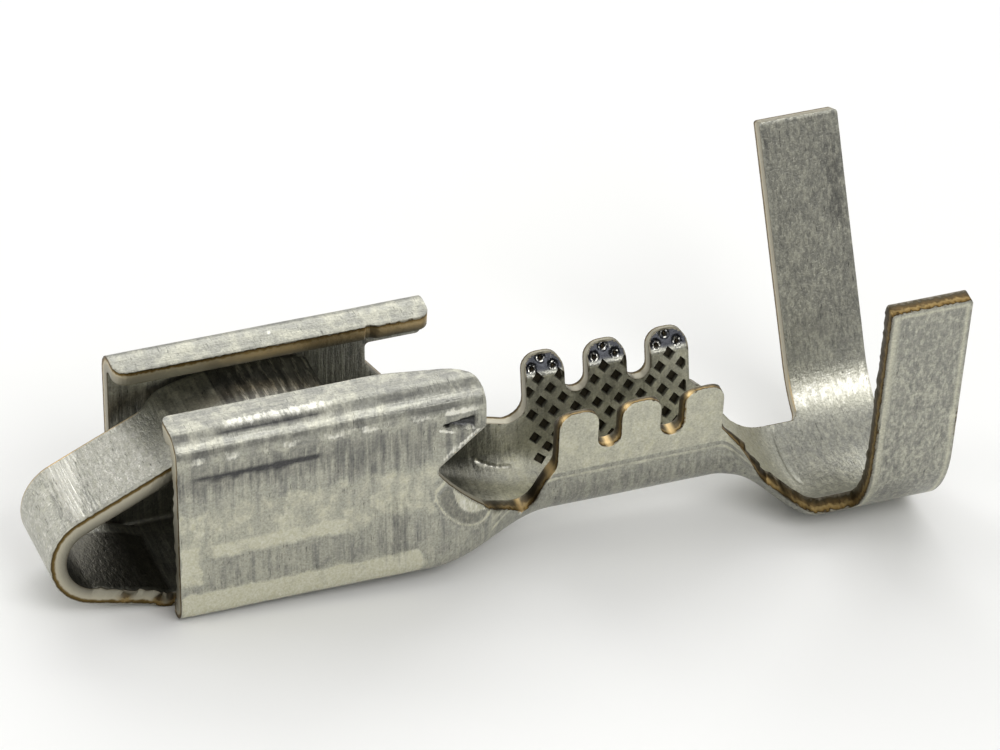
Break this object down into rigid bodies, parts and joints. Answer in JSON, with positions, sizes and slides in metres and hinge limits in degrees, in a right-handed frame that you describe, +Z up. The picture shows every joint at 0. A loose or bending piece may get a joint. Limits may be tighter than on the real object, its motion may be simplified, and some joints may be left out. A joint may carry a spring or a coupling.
{
  "type": "female crimp terminal",
  "caption": "Stamped and folded crimp terminal with a looped contact spring in an open box, a toothed and knurled conductor barrel and a winged insulation barrel.",
  "frame": {"origin": "centre of the bounding box in plan, at the underside of the insulation barrel", "axes": "+X from the loop of the spring to the insulation barrel, along the wire; +Z up, out of the open tops of the barrels; the two barrels open upwards"},
  "size_m": [0.0219, 0.009, 0.0078],
  "materials": {
    "tin_plated_brass": "satin tin plate over brass strip, bare brass at the cut edges"
  },
  "bodies": {
    "root": {"terminal": "tin_plated_brass"}
  },
  "joints": []
}
